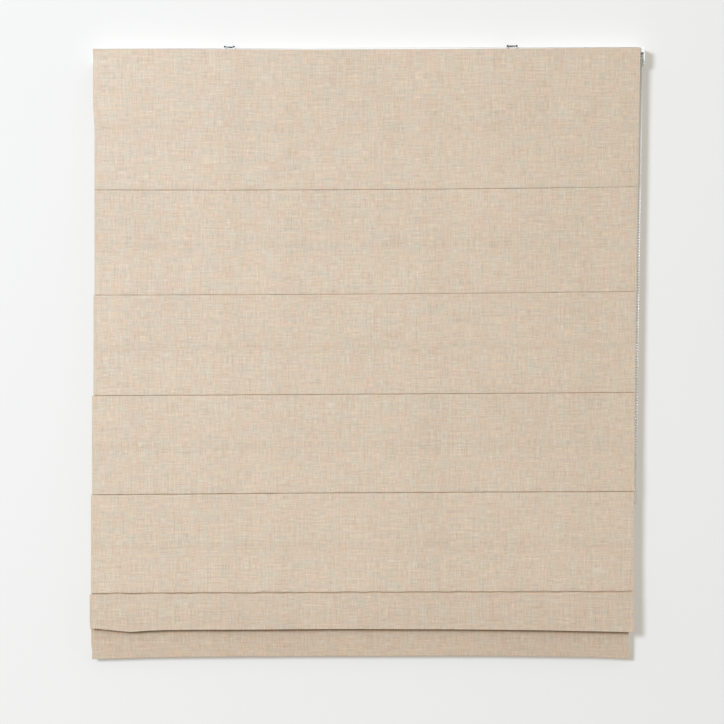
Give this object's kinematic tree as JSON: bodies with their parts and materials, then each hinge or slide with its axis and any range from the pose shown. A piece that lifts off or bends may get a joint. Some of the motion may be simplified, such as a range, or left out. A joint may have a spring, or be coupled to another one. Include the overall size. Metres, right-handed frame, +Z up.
{
  "type": "roman blind",
  "caption": "Roman blind: flat cloth with stiffening rods behind each crease, a gathered lower fold and weighted hem, on a headrail with wall brackets and a side bead chain.",
  "frame": {"origin": "on the wall plane, midway between the four wall-screw holes of the two brackets", "axes": "+X along the headrail towards the bead chain, +Y from the room into the wall, +Z up"},
  "size_m": [1.2022, 0.0422, 1.33],
  "materials": {
    "cloth": "woven",
    "rail": "white powder coat",
    "bar": "mill",
    "white_plastic": "satin",
    "grey_plastic": "matte",
    "steel": "zinc",
    "black_plastic": "matte",
    "shaft": "mill",
    "rods": "glass fibre",
    "clear_plastic": "gloss",
    "tape": "pile",
    "cord": "braided",
    "chain": "gloss"
  },
  "bodies": {
    "headrail": {"headrail": "rail", "left_end_cap": "white_plastic", "hook_tape": "tape", "loop_tape": "tape", "face_cloth": "cloth", "control_plate": "white_plastic", "clutch_spring": "steel", "chain_cover": "white_plastic", "cover_screw_front": "steel", "cover_screw_rear": "steel", "bead_chain": "chain", "cradle_left": "grey_plastic", "cradle_middle": "grey_plastic", "cradle_right": "grey_plastic", "lift_cord_left": "cord", "lift_cord_middle": "cord", "lift_cord_right": "cord", "bracket_left": "steel", "bracket_right": "steel", "latch_rivet_left": "steel", "latch_rivet_right": "steel"},
    "roller": {"shaft": "shaft", "chain_wheel": "white_plastic", "drum_left": "grey_plastic", "drum_middle": "grey_plastic", "drum_right": "grey_plastic"},
    "latch_left": {"latch_left": "black_plastic"},
    "latch_right": {"latch_right": "black_plastic"},
    "rod_1": {"rod_1": "rods", "rings_1": "clear_plastic"},
    "rod_2": {"rod_2": "rods", "rings_2": "clear_plastic"},
    "rod_3": {"rod_3": "rods", "rings_3": "clear_plastic"},
    "rod_4": {"rod_4": "rods", "rings_4": "clear_plastic"},
    "rod_5": {"rod_5": "rods", "rings_5": "clear_plastic"},
    "hem": {"rod_6": "rods", "rings_6": "clear_plastic", "cord_lock_left": "clear_plastic", "cord_lock_middle": "clear_plastic", "cord_lock_right": "clear_plastic", "bottom_bar": "bar"}
  },
  "joints": [
    {"name": "shade_lift", "type": "slide", "parent": "headrail", "child": "rod_1", "axis": [0, 0.0067, 1], "range_m": [0, 0.27401], "deforming": ["face_cloth", "lift_cord_left", "lift_cord_middle", "lift_cord_right"]},
    {"name": "lift_2", "type": "slide", "parent": "rod_1", "child": "rod_2", "axis": [0, 0.0067, 1], "range_m": [0, 0.21451]},
    {"name": "lift_3", "type": "slide", "parent": "rod_2", "child": "rod_3", "axis": [0, 0.0067, 1], "range_m": [0, 0.20551]},
    {"name": "lift_4", "type": "slide", "parent": "rod_3", "child": "rod_4", "axis": [0, 0.0067, 1], "range_m": [0, 0.20201]},
    {"name": "lift_5", "type": "slide", "parent": "rod_4", "child": "rod_5", "axis": [0, 0.0067, 1], "range_m": [0, 0.20451]},
    {"name": "last_fold_drop", "type": "slide", "parent": "rod_5", "child": "hem", "axis": [0, 0.0651, 0.9979], "range_m": [-0.13829, 0]},
    {"name": "roller_turn", "type": "hinge", "parent": "headrail", "child": "roller", "pos_m": [0, -0.021, -0.006], "axis": [-1, 0, 0], "range_deg": [0, 7249]},
    {"name": "latch_left_swivel", "type": "hinge", "parent": "headrail", "child": "latch_left", "pos_m": [-0.307, -0.013, 0.0089], "axis": [0, 0, 1], "range_deg": [0, 90]},
    {"name": "latch_right_swivel", "type": "hinge", "parent": "headrail", "child": "latch_right", "pos_m": [0.307, -0.013, 0.0089], "axis": [0, 0, 1], "range_deg": [0, 90]}
  ],
  "couplings": [
    {"joint": "lift_2", "follows": "shade_lift", "ratio": 0.78285},
    {"joint": "lift_3", "follows": "shade_lift", "ratio": 0.75},
    {"joint": "lift_4", "follows": "shade_lift", "ratio": 0.73723},
    {"joint": "lift_5", "follows": "shade_lift", "ratio": 0.74635},
    {"joint": "roller_turn", "follows": "shade_lift", "rad_per_m": 461.66}
  ]
}
